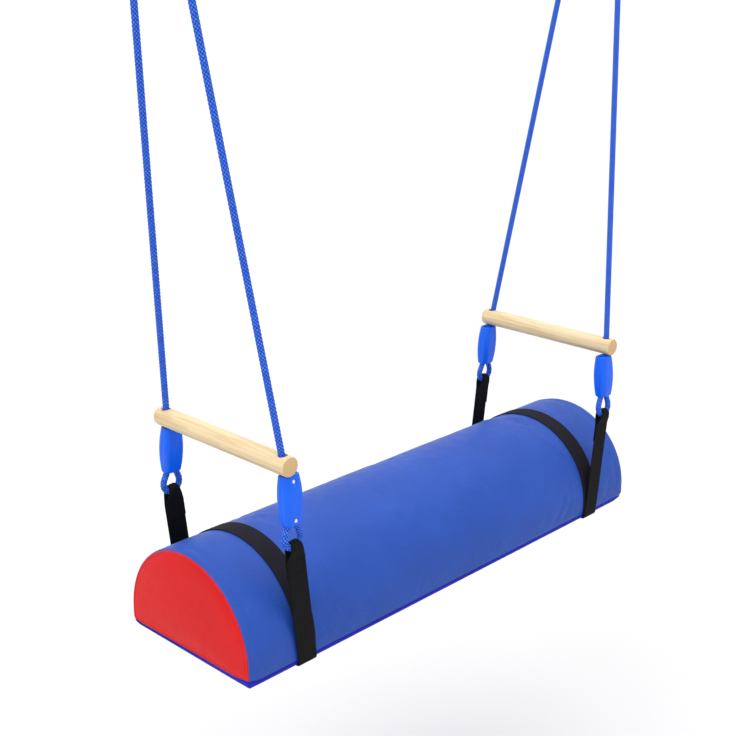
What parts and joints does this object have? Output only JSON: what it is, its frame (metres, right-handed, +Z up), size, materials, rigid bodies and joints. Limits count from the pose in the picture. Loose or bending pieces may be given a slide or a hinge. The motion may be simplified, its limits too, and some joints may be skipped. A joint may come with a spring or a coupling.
{
  "type": "bolster swing",
  "caption": "Half-round padded bolster swing, slung in webbing straps and hung from rings by ropes with spreader bars.",
  "frame": {"origin": "midway between the two hanging rings, at the height where a hook bears inside the top of each ring", "axes": "+X along the seat towards its right end, +Y across it towards its back, +Z up"},
  "size_m": [1.1708, 0.318, 1.5694],
  "materials": {
    "cover_blue": "satin",
    "cover_indigo": "satin",
    "cover_red": "satin",
    "webbing": "matte",
    "rope": "satin",
    "clamp_plastic": "satin",
    "dowel_wood": "satin",
    "plywood": "matte",
    "foam": "matte",
    "screw_steel": "satin",
    "hardware_steel": "satin"
  },
  "bodies": {
    "hanger": {"hang_ring_left": "hardware_steel", "hang_ring_right": "hardware_steel"},
    "left_shackle": {"shackle_bow_left": "hardware_steel", "shackle_pin_left": "hardware_steel"},
    "left_ropes": {"spreader_bar_left": "dowel_wood", "rope_left_front": "rope", "rope_left_back": "rope", "lower_clamp_left_front_cap": "clamp_plastic", "lower_clamp_left_front_body": "clamp_plastic", "lower_clamp_left_back_cap": "clamp_plastic", "lower_clamp_left_back_body": "clamp_plastic", "upper_clamp_left_front_cap": "clamp_plastic", "upper_clamp_left_front_body": "clamp_plastic", "upper_clamp_left_back_cap": "clamp_plastic", "upper_clamp_left_back_body": "clamp_plastic", "clamp_screws_left": "screw_steel", "thimble_left_front": "hardware_steel", "thimble_left_back": "hardware_steel"},
    "seat": {"foam_core": "foam", "base_board": "plywood", "top_cover": "cover_blue", "base_panel": "cover_indigo", "end_panel_left": "cover_red", "end_panel_right": "cover_red", "sling_strap_left": "webbing", "sling_strap_right": "webbing", "top_band_left": "webbing", "top_band_right": "webbing"},
    "right_ropes": {"spreader_bar_right": "dowel_wood", "rope_right_front": "rope", "rope_right_back": "rope", "lower_clamp_right_front_cap": "clamp_plastic", "lower_clamp_right_front_body": "clamp_plastic", "lower_clamp_right_back_cap": "clamp_plastic", "lower_clamp_right_back_body": "clamp_plastic", "upper_clamp_right_front_cap": "clamp_plastic", "upper_clamp_right_front_body": "clamp_plastic", "upper_clamp_right_back_cap": "clamp_plastic", "upper_clamp_right_back_body": "clamp_plastic", "clamp_screws_right": "screw_steel", "thimble_right_front": "hardware_steel", "thimble_right_back": "hardware_steel"},
    "right_shackle": {"shackle_bow_right": "hardware_steel", "shackle_pin_right": "hardware_steel"}
  },
  "joints": [
    {"name": "side_swing", "type": "hinge", "parent": "hanger", "child": "left_shackle", "pos_m": [-0.54689, 0, -0.05479], "axis": [1, 0, 0], "range_deg": [-30, 30]},
    {"name": "fore_swing", "type": "hinge", "parent": "left_shackle", "child": "left_ropes", "pos_m": [-0.54185, 0, -0.09709], "axis": [0, 1, 0], "range_deg": [-8, 8]},
    {"name": "seat_tilt", "type": "hinge", "parent": "left_ropes", "child": "seat", "pos_m": [-0.40865, 0, -1.33356], "axis": [0, 1, 0], "range_deg": [-10.8, 10.8]},
    {"name": "right_rope_swing", "type": "hinge", "parent": "seat", "child": "right_ropes", "pos_m": [0.40865, 0, -1.33356], "axis": [0, 1, 0], "range_deg": [-10.8, 10.8]},
    {"name": "right_shackle_turn", "type": "hinge", "parent": "right_ropes", "child": "right_shackle", "pos_m": [0.54185, 0, -0.09709], "axis": [0, 1, 0], "range_deg": [-8.1, 8.1]}
  ],
  "couplings": [
    {"joint": "seat_tilt", "follows": "fore_swing", "ratio": -1.3259},
    {"joint": "right_rope_swing", "follows": "fore_swing", "ratio": 1.3259},
    {"joint": "right_shackle_turn", "follows": "fore_swing", "ratio": -1}
  ]
}
